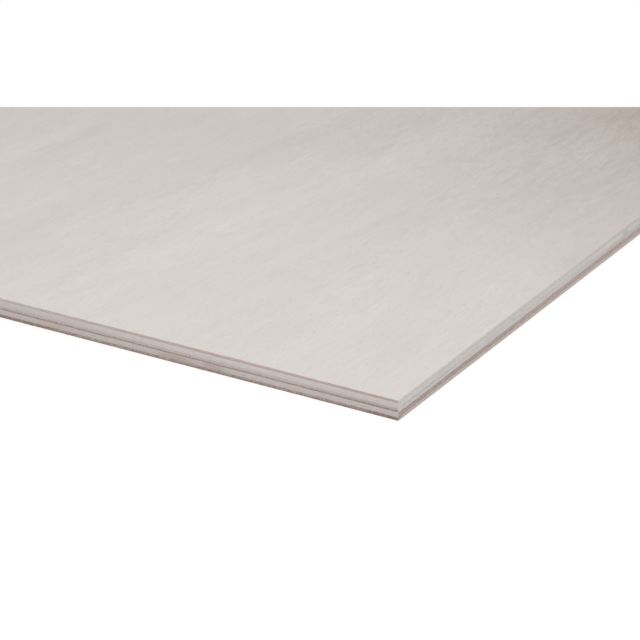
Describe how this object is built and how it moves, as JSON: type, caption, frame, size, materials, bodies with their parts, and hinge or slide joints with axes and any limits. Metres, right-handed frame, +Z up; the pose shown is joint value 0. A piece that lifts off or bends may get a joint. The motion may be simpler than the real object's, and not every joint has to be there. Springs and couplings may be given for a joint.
{
  "type": "plywood sheet",
  "caption": "Flat rectangular plywood sheet with pale veneer faces and cross-banded plies showing on its sawn edges, used as panel stock to cut, fasten or lay flat.",
  "frame": {"origin": "middle of the underside of the sheet", "axes": "+X along the sheet's length and the grain of its faces, +Y across its width, +Z up through its thickness"},
  "size_m": [1.22, 0.61, 0.01],
  "materials": {
    "outer_veneer": "sanded, bare",
    "pale_cross_veneer": "sawn, bare",
    "core_veneer": "sawn, bare",
    "red_cross_veneer": "sawn, bare"
  },
  "bodies": {
    "root": {"back_ply": "outer_veneer", "lower_cross_ply": "red_cross_veneer", "core_ply": "core_veneer", "upper_cross_ply": "pale_cross_veneer", "upper_cross_end_strip": "pale_cross_veneer", "upper_cross_insert": "red_cross_veneer", "face_ply": "outer_veneer"}
  },
  "joints": []
}
